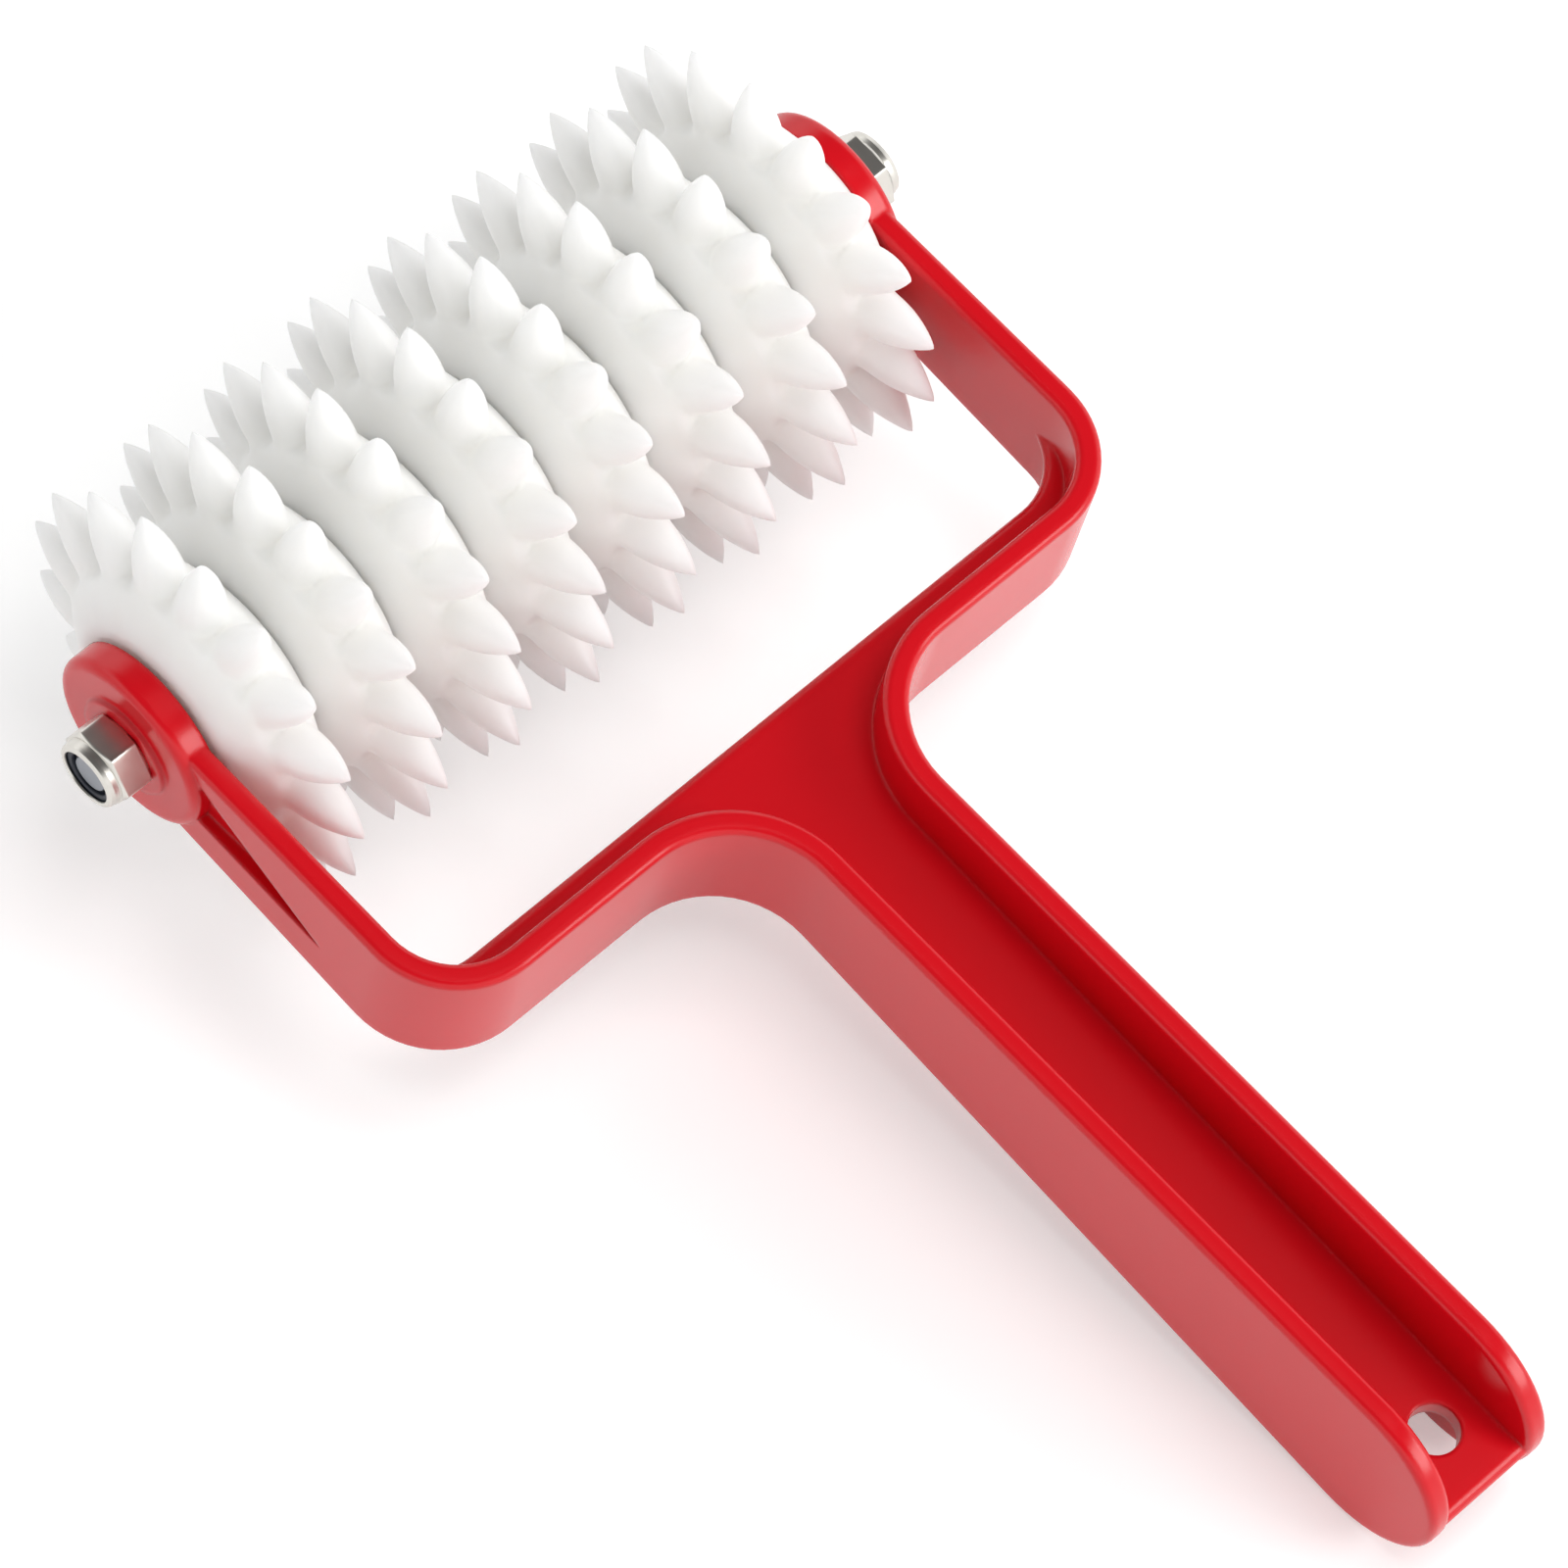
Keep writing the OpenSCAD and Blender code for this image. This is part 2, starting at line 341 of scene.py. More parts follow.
# %% Sizes of a disc, and how finely its parts are drawn
TIP_R = 30.0 * MM
DRUM_R = 19.0 * MM
CROWN_W = 7.4 * MM
HUB_R = 13.5 * MM
BORE_R = 3.1 * MM
SPIKE_COUNT = 17
SPIKE_W = 6.9 * MM
SPIKE_SINK = 1.2 * MM
SPIKE_RINGS = 24
SPIKE_SIDES = 32
RING_SIDES = 160
low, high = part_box("spiked_disc_1")
DISC_W = high.x - low.x
print(f"disc {DISC_W / MM:.1f} mm wide")

# %% Geometry Nodes: the arch that sweeps a spike


def link_spike(tree, given):
    """The nodes for one spike that stands along +Z, its foot inside the crown."""
    foot = add(
        tree,
        "ShaderNodeMath",
        {0: given["Drum Radius"], 1: given["Spike Sink"]},
        operation="SUBTRACT",
    )
    height = add(
        tree,
        "ShaderNodeMath",
        {0: given["Tip Radius"], 1: foot.outputs[0]},
        operation="SUBTRACT",
    )
    half = add(tree, "ShaderNodeMath", {0: given["Spike Width"], 1: 0.5}, operation="MULTIPLY")
    half_2 = add(tree, "ShaderNodeMath", {0: half.outputs[0], 1: half.outputs[0]}, operation="MULTIPLY")
    height_2 = add(
        tree,
        "ShaderNodeMath",
        {0: height.outputs[0], 1: height.outputs[0]},
        operation="MULTIPLY",
    )
    both = add(tree, "ShaderNodeMath", {0: half_2.outputs[0], 1: height_2.outputs[0]}, operation="ADD")
    sweep = add(
        tree,
        "ShaderNodeMath",
        {0: both.outputs[0], 1: given["Spike Width"]},
        operation="DIVIDE",
    )
    along = add(tree, "GeometryNodeSplineParameter")
    z = add(
        tree,
        "ShaderNodeMath",
        {0: along.outputs["Factor"], 1: height.outputs[0]},
        operation="MULTIPLY",
    )
    z_2 = add(tree, "ShaderNodeMath", {0: z.outputs[0], 1: z.outputs[0]}, operation="MULTIPLY")
    sweep_2 = add(
        tree,
        "ShaderNodeMath",
        {0: sweep.outputs[0], 1: sweep.outputs[0]},
        operation="MULTIPLY",
    )
    left = add(tree, "ShaderNodeMath", {0: sweep_2.outputs[0], 1: z_2.outputs[0]}, operation="SUBTRACT")
    root = add(tree, "ShaderNodeMath", {0: left.outputs[0]}, operation="SQRT")
    inset = add(tree, "ShaderNodeMath", {0: sweep.outputs[0], 1: half.outputs[0]}, operation="SUBTRACT")
    arch = add(tree, "ShaderNodeMath", {0: root.outputs[0], 1: inset.outputs[0]}, operation="SUBTRACT")
    start = add(tree, "ShaderNodeCombineXYZ", {2: foot.outputs[0]})
    end = add(tree, "ShaderNodeCombineXYZ", {2: given["Tip Radius"]})
    line = add(
        tree,
        "GeometryNodeCurvePrimitiveLine",
        {"Start": start.outputs[0], "End": end.outputs[0]},
    )
    fine = add(tree, "GeometryNodeResampleCurve", {"Curve": line.outputs[0], "Count": SPIKE_RINGS})
    round_section = add(
        tree,
        "GeometryNodeCurvePrimitiveCircle",
        {"Resolution": SPIKE_SIDES, "Radius": 1.0},
    )
    return add(
        tree,
        "GeometryNodeCurveToMesh",
        {
            "Curve": fine.outputs[0],
            "Profile Curve": round_section.outputs[0],
            "Scale": arch.outputs[0],
            "Fill Caps": True,
        },
    )


# %% Geometry Nodes: the hub and the sloping ring round it


def link_ring(tree, inner, outer, section):
    """A section swept round the rod, from the radius inner to the radius outer."""
    both = add(tree, "ShaderNodeMath", {0: inner, 1: outer}, operation="ADD")
    middle = add(tree, "ShaderNodeMath", {0: both.outputs[0], 1: 0.5}, operation="MULTIPLY")
    hoop = add(
        tree,
        "GeometryNodeCurvePrimitiveCircle",
        {"Resolution": RING_SIDES, "Radius": middle.outputs[0]},
    )
    flat = add(
        tree,
        "GeometryNodeCurveToMesh",
        {"Curve": hoop.outputs[0], "Profile Curve": section.outputs[0]},
    )
    return add(
        tree,
        "GeometryNodeTransform",
        {"Geometry": flat.outputs[0], "Rotation": (0.0, math.pi / 2, 0.0)},
    )


def link_body(tree, given):
    """The nodes for the disc without its spikes: a square ring and a tapered one outside it."""
    bore, hub, drum = given["Bore Radius"], given["Hub Radius"], given["Drum Radius"]
    hub_wall = add(tree, "ShaderNodeMath", {0: hub, 1: bore}, operation="SUBTRACT")
    square = add(
        tree,
        "GeometryNodeCurvePrimitiveQuadrilateral",
        {"Width": hub_wall.outputs[0], "Height": given["Disc Width"]},
    )
    crown_wall = add(tree, "ShaderNodeMath", {0: drum, 1: hub}, operation="SUBTRACT")
    tapered = add(
        tree,
        "GeometryNodeCurvePrimitiveQuadrilateral",
        {
            "Height": crown_wall.outputs[0],
            "Bottom Width": given["Disc Width"],
            "Top Width": given["Crown Width"],
            "Offset": 0.0,
        },
        mode="TRAPEZOID",
    )
    outwards = add(
        tree,
        "GeometryNodeTransform",
        {"Geometry": tapered.outputs[0], "Rotation": (0.0, 0.0, -math.pi / 2)},
    )
    return link_ring(tree, bore, hub, square), link_ring(tree, hub, drum, outwards)


# %% Geometry Nodes: the whole disc


def spiked_disc_tree():
    tree = bpy.data.node_groups.new("spiked_disc", "GeometryNodeTree")
    sizes = [
        "Tip Radius",
        "Drum Radius",
        "Hub Radius",
        "Bore Radius",
        "Disc Width",
        "Crown Width",
        "Spike Width",
        "Spike Sink",
    ]
    for name in sizes:
        tree.interface.new_socket(name, in_out="INPUT", socket_type="NodeSocketFloat")
    tree.interface.new_socket("Spike Count", in_out="INPUT", socket_type="NodeSocketInt")
    tree.interface.new_socket("Material", in_out="INPUT", socket_type="NodeSocketMaterial")
    tree.interface.new_socket("Geometry", in_out="OUTPUT", socket_type="NodeSocketGeometry")
    given = add(tree, "NodeGroupInput").outputs

    spike = link_spike(tree, given)
    seats = add(tree, "GeometryNodePoints", {"Count": given["Spike Count"]})
    number = add(tree, "GeometryNodeInputIndex")
    step = add(tree, "ShaderNodeMath", {0: math.tau, 1: given["Spike Count"]}, operation="DIVIDE")
    turn = add(
        tree,
        "ShaderNodeMath",
        {0: number.outputs[0], 1: step.outputs[0], 2: math.pi},
        operation="MULTIPLY_ADD",
    )
    turned = add(tree, "ShaderNodeCombineXYZ", {0: turn.outputs[0]})
    ring = add(
        tree,
        "GeometryNodeInstanceOnPoints",
        {"Points": seats.outputs[0], "Instance": spike.outputs[0], "Rotation": turned.outputs[0]},
    )
    ring = add(tree, "GeometryNodeRealizeInstances", {0: ring.outputs[0]})

    whole = add(tree, "GeometryNodeJoinGeometry")
    for piece in (ring, *link_body(tree, given)):
        tree.links.new(piece.outputs[0], whole.inputs[0])
    painted = add(
        tree,
        "GeometryNodeSetMaterial",
        {"Geometry": whole.outputs[0], "Material": given["Material"]},
    )
    add(tree, "NodeGroupOutput", {0: painted.outputs[0]})
    return tree


DISC_TREE = spiked_disc_tree()
print("disc tree has", len(DISC_TREE.nodes), "nodes")

# %% [markdown]
# A modifier's inputs are set by the sockets' identifiers, because two sockets may share a name. The
# tree gives rings with spikes stuck into them. In the mould they are one piece, and the plastic
# runs up the foot of each spike in a wide blend. A voxel remesh fuses them. Many rounds of smoothing
# make the blends, but only near the feet, because they would eat the tips. A decimation takes out
# the faces that flat and gentle surfaces don't need.

# %% Sizes of the moulded blends
VOXEL = 0.32 * MM
BLEND_ROUNDS = 40
SOFTENING_ROUNDS = 4
KEPT_SHARE = 0.35
# The remesh and the smoothing shorten each spike by this much, so it starts longer
LOST_TIP = 0.05 * MM
# Distances from the rod between which the blend grows from nothing to full, and fades out again
BLEND_FROM = (10.5 * MM, 12.5 * MM)
BLEND_TO = (20.5 * MM, 24.0 * MM)


def set_input(modifier, name, value):
    sockets = modifier.node_group.interface.items_tree
    modifier[next(s.identifier for s in sockets if s.name == name)] = value


def blend_share(out):
    """How strongly a point at this distance from the rod is smoothed, from 0 to 1."""
    grows = (out - BLEND_FROM[0]) / (BLEND_FROM[1] - BLEND_FROM[0])
    fades = (BLEND_TO[1] - out) / (BLEND_TO[1] - BLEND_TO[0])
    return max(0.0, min(1.0, grows, fades))


print("blend at 19 mm:", blend_share(19 * MM))

# %% Fuse the disc as a moulding


def fused_disc():
    """One closed mesh of the rings and spikes, centred at the origin, a spike straight down."""
    worker = make_object("disc_worker", bpy.data.meshes.new("disc_worker"))
    ring = worker.modifiers.new("ring", "NODES")
    ring.node_group = DISC_TREE
    for name, value in {
        "Tip Radius": TIP_R + LOST_TIP,
        "Drum Radius": DRUM_R,
        "Hub Radius": HUB_R,
        "Bore Radius": BORE_R,
        "Disc Width": DISC_W,
        "Crown Width": CROWN_W,
        "Spike Width": SPIKE_W,
        "Spike Sink": SPIKE_SINK,
        "Spike Count": SPIKE_COUNT,
        "Material": WHITE,
    }.items():
        set_input(ring, name, value)
    fuse = worker.modifiers.new("fuse", "REMESH")
    fuse.mode = "VOXEL"
    fuse.voxel_size = VOXEL
    mesh = frozen(worker, "fused_disc")
    bpy.data.objects.remove(worker)
    return mesh


def moulded_disc():
    """The fused disc with its blends, and with few faces where it is flat."""
    solid = make_object("disc_solid", fused_disc())
    feet = solid.vertex_groups.new(name="feet")
    for vertex in solid.data.vertices:
        share = blend_share(math.hypot(vertex.co.y, vertex.co.z))
        if share > 0:
            feet.add([vertex.index], share, "REPLACE")
    blend = solid.modifiers.new("blend", "SMOOTH")
    blend.factor = 0.5
    blend.iterations = BLEND_ROUNDS
    blend.vertex_group = feet.name
    soften = solid.modifiers.new("soften", "SMOOTH")
    soften.factor = 0.5
    soften.iterations = SOFTENING_ROUNDS
    thin = solid.modifiers.new("thin", "DECIMATE")
    thin.ratio = KEPT_SHARE
    mesh = frozen(solid, "moulded_disc")
    bpy.data.objects.remove(solid)
    mesh.materials.clear()
    mesh.materials.append(WHITE)
    shade_smooth(mesh)
    return mesh


DISC = moulded_disc()
disc_reach = max(math.hypot(v.co.y, v.co.z) for v in DISC.vertices)
print(f"moulded disc: {len(DISC.polygons)} faces, reaches {disc_reach / MM:.2f} mm from the rod")

# %% [markdown]
# Eight copies go onto the rod. Each disc stopped at its own angle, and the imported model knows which:
# the spike nearest to straight down is found in the CAD node's own points.

# %% Put the discs on the rod


def resting_turn(node):
    """Angle of the spike nearest to straight down, in the CAD node."""
    tips = [
        (v.co.y - ROD.y, v.co.z - ROD.z)
        for v in frame["nodes"][node].data.vertices
        if math.hypot(v.co.y - ROD.y, v.co.z - ROD.z) > TIP_R - 0.02 * MM
    ]
    return min((math.atan2(y, -z) for y, z in tips), key=abs)


for joint in JOINTS:
    body = joint["child"]
    node = frame["record"]["behaviour"]["bodies"][body][0]
    turn = resting_turn(node)
    placed = DISC.copy()
    placed.transform(
        Matrix.Translation(Vector(joint["pos_m"])) @ Matrix.Rotation(turn, 4, "X")
    )
    finish_piece(make_object(f"moulded_{node}", placed), body, "white_plastic", node)

# %% [markdown]
# ## Step 2: the fork
# The fork's form is all in the CAD node: rounded rims, eyes, sinks and the web. What the node lacks is
# the small radius that a mould leaves in every other corner. So its triangles are welded, flat areas
# become single faces, and a bevel rounds the edges that are still sharp. Weighted normals then keep
# the flat sides flat while the roundings shade smoothly.

# %% The fork, with its edges eased
EDGE_R = 0.45 * MM
EDGE_STEPS = 3
WELD_DISTANCE = 0.002 * MM
FLAT_ANGLE = math.radians(0.05)
SHARP_ANGLE = math.radians(32)


def eased_fork():
    mesh = frame["nodes"]["frame"].data.copy()
    bm = bmesh.new()
    bm.from_mesh(mesh)
    bmesh.ops.remove_doubles(bm, verts=bm.verts, dist=WELD_DISTANCE)
    bmesh.ops.dissolve_limit(
        bm, angle_limit=FLAT_ANGLE, verts=bm.verts, edges=bm.edges, use_dissolve_boundaries=False
    )
    bm.to_mesh(mesh)
    bm.free()
    mesh.materials.clear()
    mesh.materials.append(RED)
    shade_smooth(mesh)
    worker = make_object("fork_worker", mesh)
    ease = worker.modifiers.new("ease", "BEVEL")
    ease.width = EDGE_R
    ease.segments = EDGE_STEPS
    ease.limit_method = "ANGLE"
    ease.angle_limit = SHARP_ANGLE
    ease.harden_normals = False
    weigh = worker.modifiers.new("weigh", "WEIGHTED_NORMAL")
    weigh.keep_sharp = False
    eased = frozen(worker, "eased_fork")
    bpy.data.objects.remove(worker)
    return eased


finish_piece(make_object("moulded_fork", eased_fork()), "fork", "red_plastic", "frame")

# %% [markdown]
# ## Step 3: nuts, inserts and rod
# All three are turned parts, so one function sweeps an outline round the rod's axis. A nut is also
# turned: its outline is cut back to a hexagon, and where the two meet the curved chamfer of a real
# nut appears by itself. The rod's thread is a ripple in its radius that shifts with the angle.

# %% Sweep an outline round the rod


def soften_corners(outline, radius, steps=4):
    """A closed outline with each corner replaced by a small arc."""
    points = []
    count = len(outline)
    for i, corner in enumerate(outline):
        here = Vector(corner)
        to_last = Vector(outline[i - 1]) - here
        to_next = Vector(outline[(i + 1) % count]) - here
        half_angle = to_last.angle(to_next) / 2
        cut = min(radius / math.tan(half_angle), to_last.length / 2.1, to_next.length / 2.1)
        a = here + to_last.normalized() * cut
        b = here + to_next.normalized() * cut
        for k in range(steps + 1):
            t = k / steps
            points.append((1 - t) ** 2 * a + 2 * t * (1 - t) * here + t**2 * b)
    return points


def sweep_round(name, outline, angles, radius_at, placing, material):
    """A closed ring: outline points are (along the rod, out from it)."""
    bm = bmesh.new()
    rings = []
    for along, out in outline:
        ring = []
        for angle in angles:
            r = radius_at(along, out, angle)
            ring.append(bm.verts.new((along, r * math.cos(angle), r * math.sin(angle))))
        rings.append(ring)
    count = len(angles)
    for i, ring in enumerate(rings):
        after = rings[(i + 1) % len(rings)]
        for k in range(count):
            bm.faces.new((ring[k], ring[(k + 1) % count], after[(k + 1) % count], after[k]))
    bmesh.ops.transform(bm, matrix=placing, verts=bm.verts)
    bmesh.ops.recalc_face_normals(bm, faces=bm.faces)
    mesh = bpy.data.meshes.new(name)
    bm.to_mesh(mesh)
    bm.free()
    mesh.materials.append(material)
    shade_smooth(mesh)
    return make_object(name, mesh)


print("sweep ready")

# %% Nut and insert
NUT_AF = 10.0 * MM
HEX_H = 4.5 * MM
NUT_H = 6.1 * MM
COLLAR_R = 4.75 * MM
INSERT_R = 4.1 * MM
INSERT_FLOOR = 4.3 * MM
INSERT_H = 1.3 * MM
LIP_R = 3.75 * MM
ROD_R = 3.0 * MM
FIT = 0.05 * MM
FLARE = 0.5 * MM
CORNER_R = NUT_AF / math.sqrt(3)
CHAMFER_H = (CORNER_R - NUT_AF / 2) * 0.55
FACET = math.radians(60)
FACET_SHARES = (-0.5, -0.485, -0.465, -0.43, -0.35, -0.2, 0.0, 0.2, 0.35, 0.43, 0.465, 0.485)
NUT_ANGLES = [(facet + 0.5 + share) * FACET for facet in range(6) for share in FACET_SHARES]
ROUND_ANGLES = [k * math.tau / 96 for k in range(96)]


def soft_min(a, b, blend):
    gap = max(blend - abs(a - b), 0.0) / blend
    return min(a, b) - gap * gap * blend / 4


def nut_radius(along, out, angle):
    off_middle = angle % FACET - FACET / 2
    flat = NUT_AF / 2 / math.cos(off_middle)
    flat = soft_min(flat, CORNER_R * 0.985, 0.12 * MM)
    return soft_min(out, flat, 0.1 * MM) if out > LIP_R + FIT else out


def plain_radius(along, out, angle):
    return out


def nut_outline():
    outside = CORNER_R * 1.05
    return soften_corners(
        [
            (0.0, ROD_R + FLARE),
            (FLARE, ROD_R + FIT),
            (INSERT_FLOOR, ROD_R + FIT),
            (INSERT_FLOOR, INSERT_R + FIT),
            (INSERT_FLOOR + INSERT_H + FIT, INSERT_R + FIT),
            (INSERT_FLOOR + INSERT_H + 0.15 * MM, LIP_R),
            (NUT_H, LIP_R + 0.1 * MM),
            (NUT_H, COLLAR_R - 0.55 * MM),
            (NUT_H - 0.25 * MM, COLLAR_R - 0.15 * MM),
            (NUT_H - 0.8 * MM, COLLAR_R),
            (HEX_H, COLLAR_R),
            (HEX_H, NUT_AF / 2),
            (HEX_H - CHAMFER_H, outside),
            (CHAMFER_H, outside),
            (0.0, NUT_AF / 2),
        ],
        0.12 * MM,
    )


def insert_outline():
    return soften_corners(
        [
            (INSERT_FLOOR, ROD_R + FIT),
            (INSERT_FLOOR, INSERT_R),
            (INSERT_FLOOR + INSERT_H, INSERT_R),
            (INSERT_FLOOR + INSERT_H, ROD_R + FIT),
        ],
        0.3 * MM,
    )


# Degrees that each nut is turned from the place where one of its flat sides faces down
NUT_TURNS = {"left": -10, "right": 2}
for side, sign in (("left", -1), ("right", 1)):
    low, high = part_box(f"{side}_lock_nut")
    seat = high.x if sign < 0 else low.x
    outwards = Matrix.Diagonal((sign, 1, 1, 1))
    turned = Matrix.Rotation(math.radians(NUT_TURNS[side]), 4, "X")
    placing = TO_FORK @ Matrix.Translation((seat, 0, 0)) @ turned @ outwards
    nut = sweep_round(f"{side}_nut", nut_outline(), NUT_ANGLES, nut_radius, placing, PLATING)
    finish_piece(nut, "fork", "nut_plating", f"{side}_lock_nut")
    insert = sweep_round(
        f"{side}_insert", insert_outline(), ROUND_ANGLES, plain_radius, placing, NYLON
    )
    finish_piece(insert, "fork", "dark_nylon", f"{side}_nylon_insert")

# %% Rod with its threads
low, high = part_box("axle")
ROD_END = high.x
THREAD_PITCH = 1.0 * MM
THREAD_DEPTH = 0.55 * MM
THREAD_L = 8.0 * MM
ROD_CHAMFER = 0.6 * MM
RINGS_PER_PITCH = 10


def rod_radius(along, angle):
    to_end = ROD_END - abs(along)
    r = ROD_R
    if to_end < THREAD_L:
        phase = (along / THREAD_PITCH + angle / math.tau) % 1.0
        ramp = min(1.0, (THREAD_L - to_end) / THREAD_PITCH)
        r -= THREAD_DEPTH * ramp * min(1.0, 1.25 * abs(2 * phase - 1))
    return min(r, ROD_R - ROD_CHAMFER + to_end)


def rod():
    step = THREAD_PITCH / RINGS_PER_PITCH
    threaded = [ROD_END - k * step for k in range(int(THREAD_L / step) + 2)]
    stations = [-x for x in threaded] + [0.0] + threaded[::-1]
    bm = bmesh.new()
    rings = []
    for x in stations:
        ring = []
        for angle in ROUND_ANGLES:
            r = rod_radius(x, angle)
            ring.append(bm.verts.new((x, r * math.cos(angle), r * math.sin(angle))))
        rings.append(ring)
    count = len(ROUND_ANGLES)
    for ring, after in zip(rings, rings[1:]):
        for k in range(count):
            bm.faces.new((ring[k], ring[(k + 1) % count], after[(k + 1) % count], after[k]))
    for end in (rings[0], rings[-1]):
        bm.faces.new(end)
    bmesh.ops.transform(bm, matrix=TO_FORK, verts=bm.verts)
    bmesh.ops.recalc_face_normals(bm, faces=bm.faces)
    mesh = bpy.data.meshes.new("threaded_rod")
    bm.to_mesh(mesh)
    bm.free()
    mesh.materials.append(STEEL)
    mesh.polygons.foreach_set("use_smooth", [len(p.vertices) == 4 for p in mesh.polygons])
    return make_object("threaded_rod", mesh)


finish_piece(rod(), "fork", "rod_steel", "axle")

# %% [markdown]
# ## Step 4: table, light and camera
# A product shot on white: the table is pale, and only where it is seen directly it glows a little
# more, so that it turns white while its shadow stays. The walls of the room shine all round, and the
# rims of the fork mirror them as bright lines. The ceiling is dark, because the web mirrors it and
# has to stay deep red. One soft box stands behind the handle and lights its sides. The other hangs
# above, and gloss doesn't show it.

# %% Table
TABLE_HALF = 1.5
TABLE_GLOW = 0.36


def seen_directly(tree):
    """1 for what the camera sees, also mirrored or through glass, and 0 for light that bounces."""
    ray = add(tree, "ShaderNodeLightPath")
    mirrored = add(
        tree,
        "ShaderNodeMath",
        {0: ray.outputs["Is Camera Ray"], 1: ray.outputs["Is Glossy Ray"]},
        operation="MAXIMUM",
    )
    seen = add(
        tree,
        "ShaderNodeMath",
        {0: mirrored.outputs[0], 1: ray.outputs["Is Transmission Ray"]},
        operation="MAXIMUM",
    )
    return seen.outputs[0]


def white_table():
    material = bpy.data.materials.new("white_table")
    material.use_nodes = True
    tree = material.node_tree
    tree.nodes.clear()
    paper = add(tree, "ShaderNodeBsdfDiffuse", {"Color": linear("#E6E6E6")})
    glow = add(tree, "ShaderNodeEmission", {"Color": linear("#FFFFFF"), "Strength": TABLE_GLOW})
    lit = add(tree, "ShaderNodeAddShader", {0: paper.outputs[0], 1: glow.outputs[0]})
    seen = add(
        tree,
        "ShaderNodeMixShader",
        {0: seen_directly(tree), 1: paper.outputs[0], 2: lit.outputs[0]},
    )
    add(tree, "ShaderNodeOutputMaterial", {"Surface": seen.outputs[0]})
    return material


table_mesh = bpy.data.meshes.new("table")
table_mesh.from_pydata(
    [(x * TABLE_HALF, y * TABLE_HALF, 0.0) for x, y in ((-1, -1), (1, -1), (1, 1), (-1, 1))],
    [],
    [(0, 1, 2, 3)],
)
table_mesh.materials.append(white_table())
table = make_object("table", table_mesh)
print("table is", 2 * TABLE_HALF, "m wide")

# %% Room and lamps
BAND_LIGHT = 1.4
CEILING_SHARE = 0.08
# Heights on a sphere of radius 1 between which the walls brighten, and darken again to the ceiling
BRIGHTENS = (0.1, 0.28)
DARKENS = (0.45, 0.7)


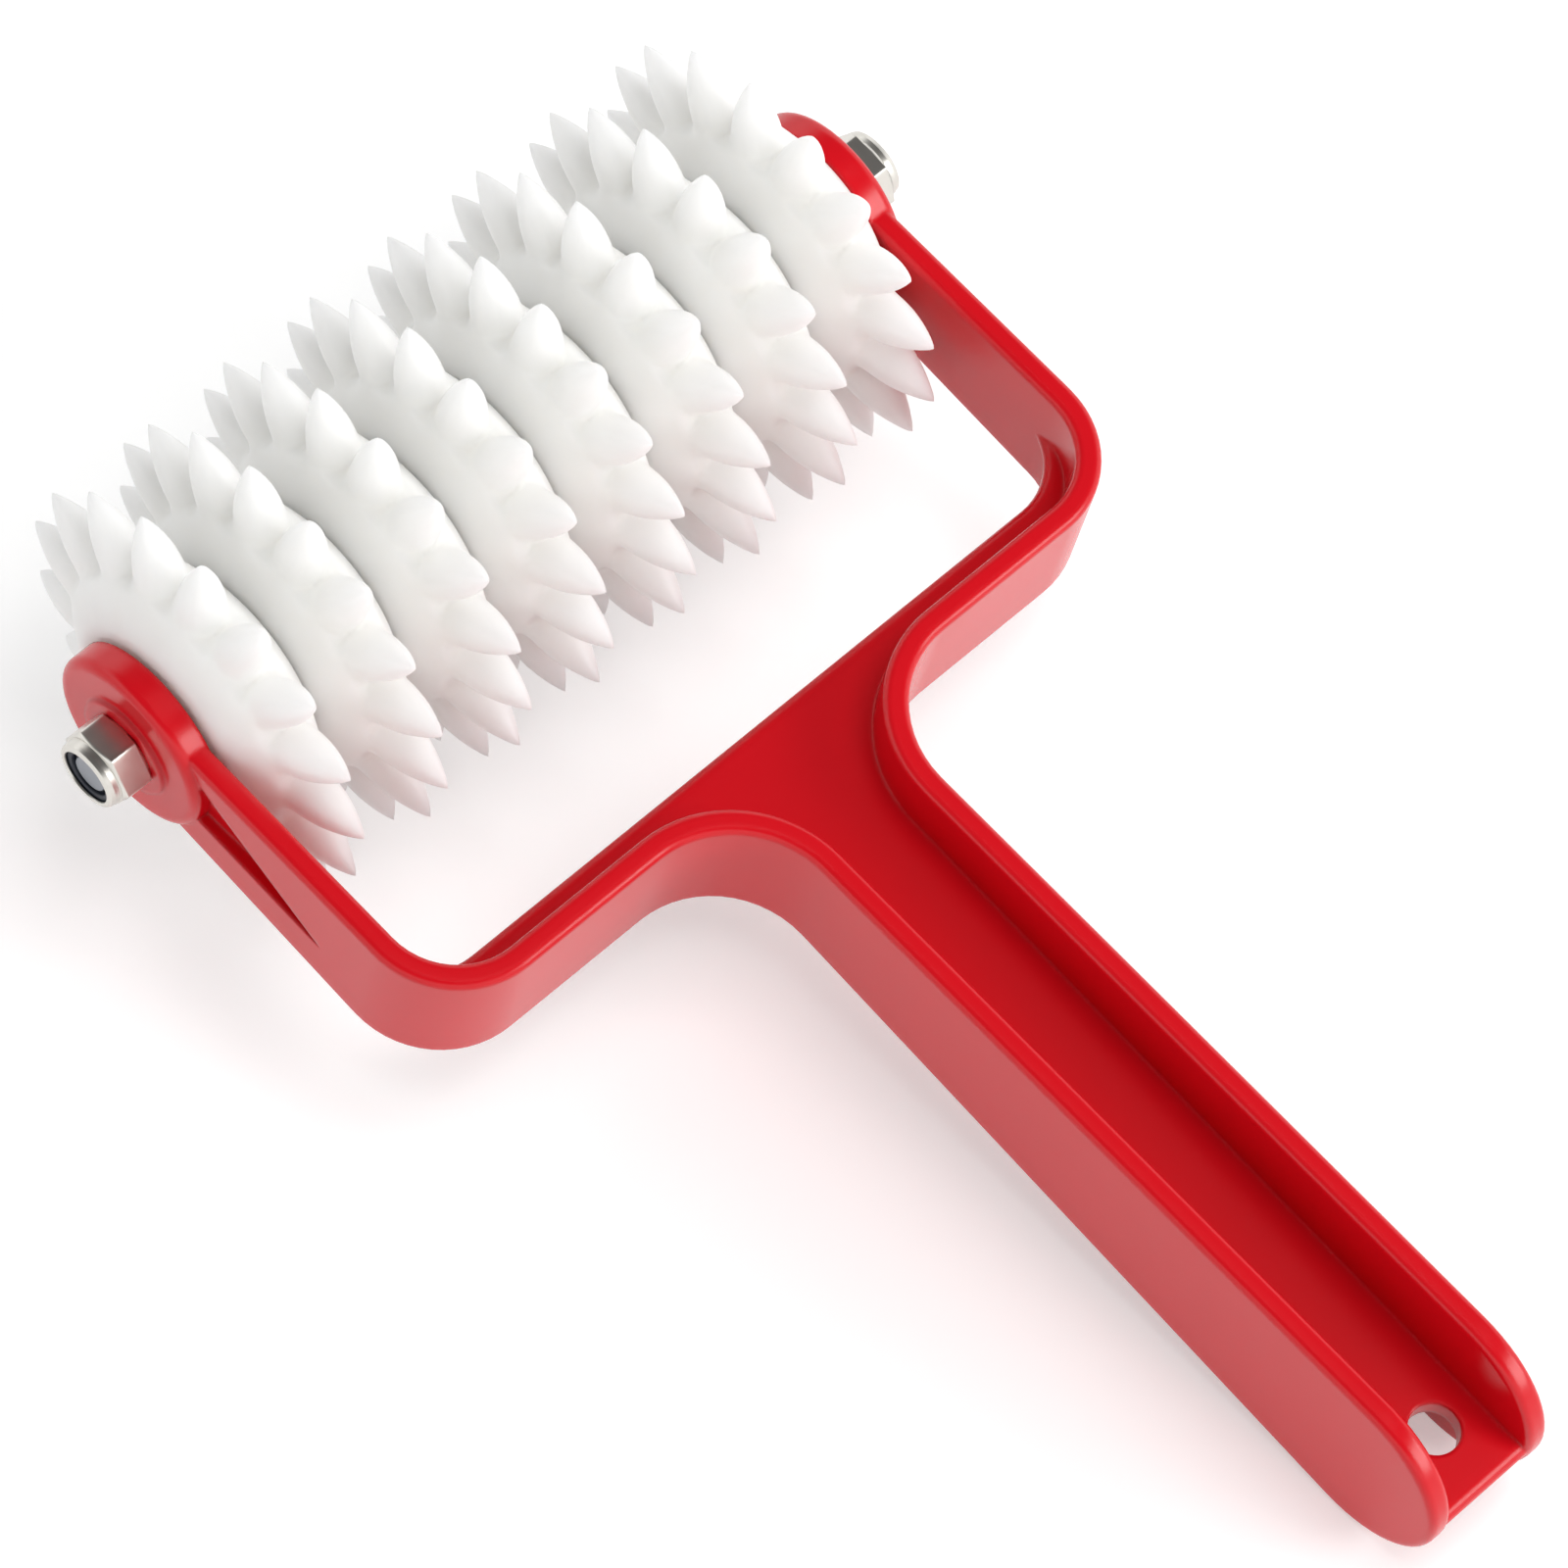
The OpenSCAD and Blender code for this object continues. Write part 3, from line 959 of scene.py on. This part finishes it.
def room():
    """Bright walls under a dark ceiling. At the horizon their strength is 1, so it is white there."""
    world = bpy.data.worlds.new("room")
    bpy.context.scene.world = world
    world.use_nodes = True
    tree = world.node_tree
    tree.nodes.clear()
    place = add(tree, "ShaderNodeTexCoord")
    axes = add(tree, "ShaderNodeSeparateXYZ", {0: place.outputs["Generated"]})
    height = axes.outputs["Z"]
    walls = add(
        tree,
        "ShaderNodeMapRange",
        {
            "Value": height,
            "From Min": BRIGHTENS[0],
            "From Max": BRIGHTENS[1],
            "To Min": 1.0,
            "To Max": BAND_LIGHT,
        },
        interpolation_type="SMOOTHSTEP",
    )
    ceiling = add(
        tree,
        "ShaderNodeMapRange",
        {
            "Value": height,
            "From Min": DARKENS[0],
            "From Max": DARKENS[1],
            "To Min": 1.0,
            "To Max": CEILING_SHARE,
        },
        interpolation_type="SMOOTHSTEP",
    )
    strength = add(
        tree, "ShaderNodeMath", {0: walls.outputs[0], 1: ceiling.outputs[0]}, operation="MULTIPLY"
    )
    lit = add(
        tree,
        "ShaderNodeBackground",
        {"Color": linear("#FFFFFF"), "Strength": strength.outputs[0]},
    )
    white = add(tree, "ShaderNodeBackground", {"Color": linear("#FFFFFF"), "Strength": 1.0})
    ray = add(tree, "ShaderNodeLightPath")
    mixed = add(
        tree,
        "ShaderNodeMixShader",
        {0: ray.outputs["Is Camera Ray"], 1: lit.outputs[0], 2: white.outputs[0]},
    )
    add(tree, "ShaderNodeOutputWorld", {"Surface": mixed.outputs[0]})


def soft_box(name, place, size, watts, mirrored=True):
    """A square lamp that faces the middle of the docker. Gloss can be kept from showing it."""
    lamp = bpy.data.lights.new(name, "AREA")
    lamp.size = size
    lamp.energy = watts
    obj = bpy.data.objects.new(name, lamp)
    bpy.context.scene.collection.objects.link(obj)
    obj.location = place
    obj.rotation_mode = "QUATERNION"
    obj.rotation_quaternion = Vector(place).to_track_quat("Z", "Y")
    obj.visible_glossy = mirrored
    print(f"{name}: {watts} W")


room()
soft_box("side_box", (0.5, -0.85, 0.5), 0.5, 4.4)
soft_box("top_box", (0.15, -0.2, 1.15), 0.7, 6.0, mirrored=False)

# %% Camera
AIM = Vector((-4.04, 16.19, 30.0)) * MM
CAMERA_DISTANCE = 1.135
CAMERA_AZIMUTH = math.radians(-51.92)
CAMERA_ELEVATION = math.radians(61.09)
CAMERA_ROLL = math.radians(9.06)
LENS = 214.9
SENSOR = 36.0


def photo_camera():
    back = Vector(
        (
            math.sin(CAMERA_AZIMUTH) * math.cos(CAMERA_ELEVATION),
            -math.cos(CAMERA_AZIMUTH) * math.cos(CAMERA_ELEVATION),
            math.sin(CAMERA_ELEVATION),
        )
    )
    level = Vector((math.cos(CAMERA_AZIMUTH), math.sin(CAMERA_AZIMUTH), 0.0))
    right = Matrix.Rotation(CAMERA_ROLL, 3, back) @ level
    up = back.cross(right)
    data = bpy.data.cameras.new("photo_camera")
    data.lens = LENS
    data.sensor_width = SENSOR
    data.sensor_fit = "HORIZONTAL"
    data.clip_start = 0.05
    data.clip_end = 20.0
    camera = bpy.data.objects.new("photo_camera", data)
    bpy.context.scene.collection.objects.link(camera)
    turn = Matrix((right, up, back)).transposed().to_4x4()
    camera.matrix_world = Matrix.Translation(AIM + back * CAMERA_DISTANCE) @ turn
    bpy.context.scene.camera = camera
    print("camera at", [round(v, 3) for v in camera.matrix_world.translation])


photo_camera()
bpy.context.scene.view_settings.view_transform = "Standard"
